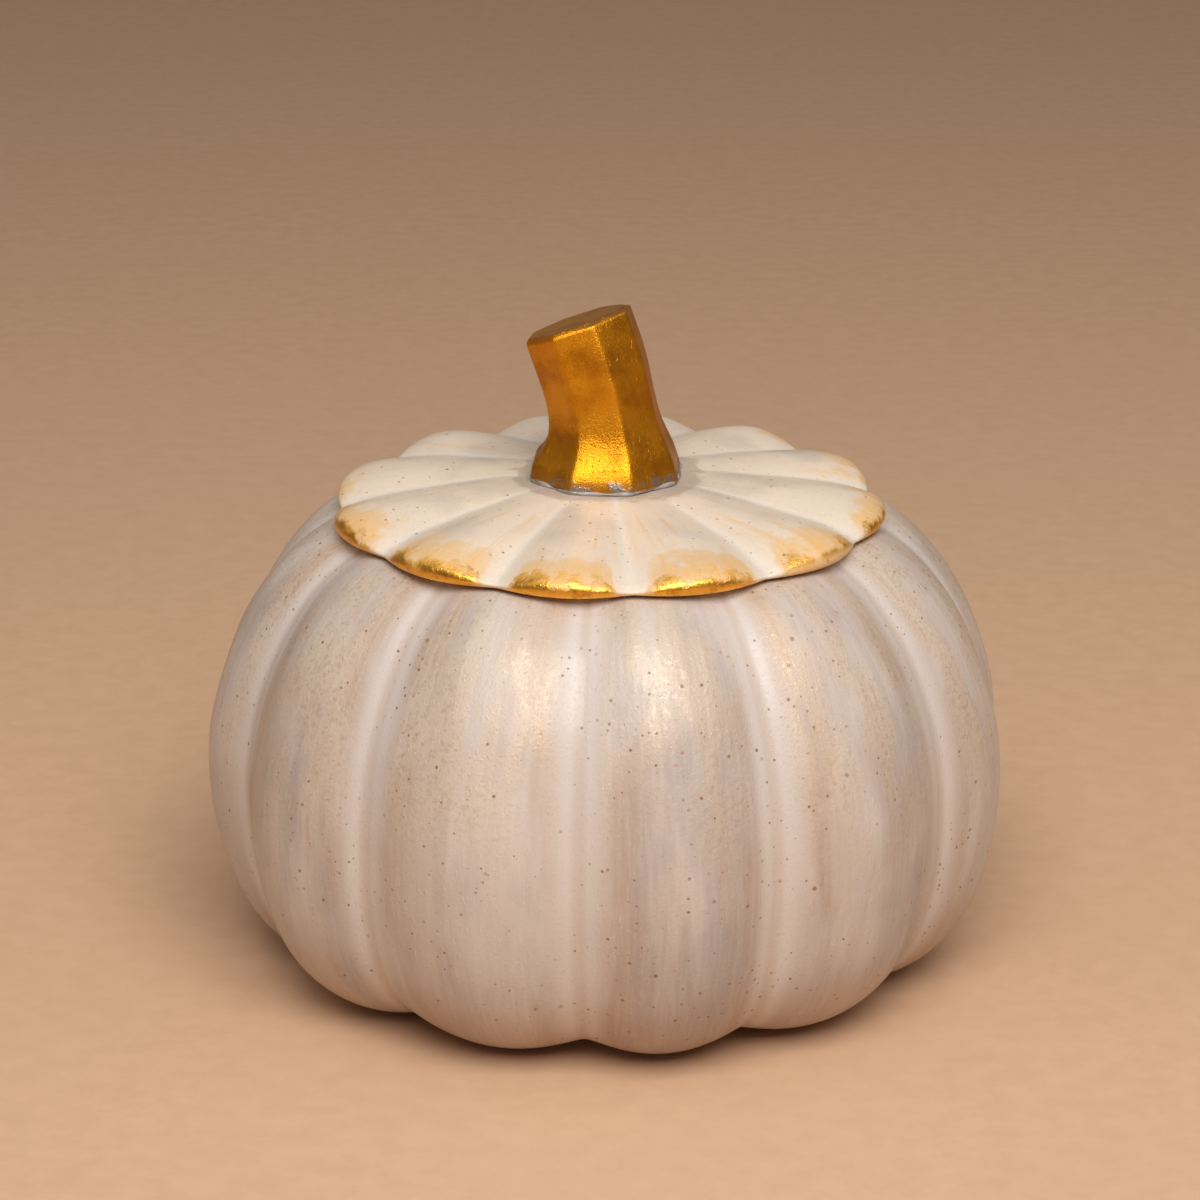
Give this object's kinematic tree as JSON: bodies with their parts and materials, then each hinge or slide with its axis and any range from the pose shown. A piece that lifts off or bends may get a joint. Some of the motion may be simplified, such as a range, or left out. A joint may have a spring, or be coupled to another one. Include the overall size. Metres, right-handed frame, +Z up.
{
  "type": "lidded ceramic pumpkin jar",
  "caption": "Ribbed ceramic storage jar shaped like a pumpkin, with a lift-off scalloped lid and a bent faceted gold stem as its knob.",
  "frame": {"origin": "middle of the flat foot that the jar stands on", "axes": "+Z up along the jar's axis, -Y towards the picture's camera, and the stem leans towards -X"},
  "size_m": [0.1577, 0.1576, 0.1324],
  "materials": {
    "pot_glaze": "satin",
    "lid_glaze": "satin",
    "stem_gold": "antique gold paint"
  },
  "bodies": {
    "root": {"pot": "pot_glaze", "lid": "lid_glaze", "stem": "stem_gold"}
  },
  "joints": []
}
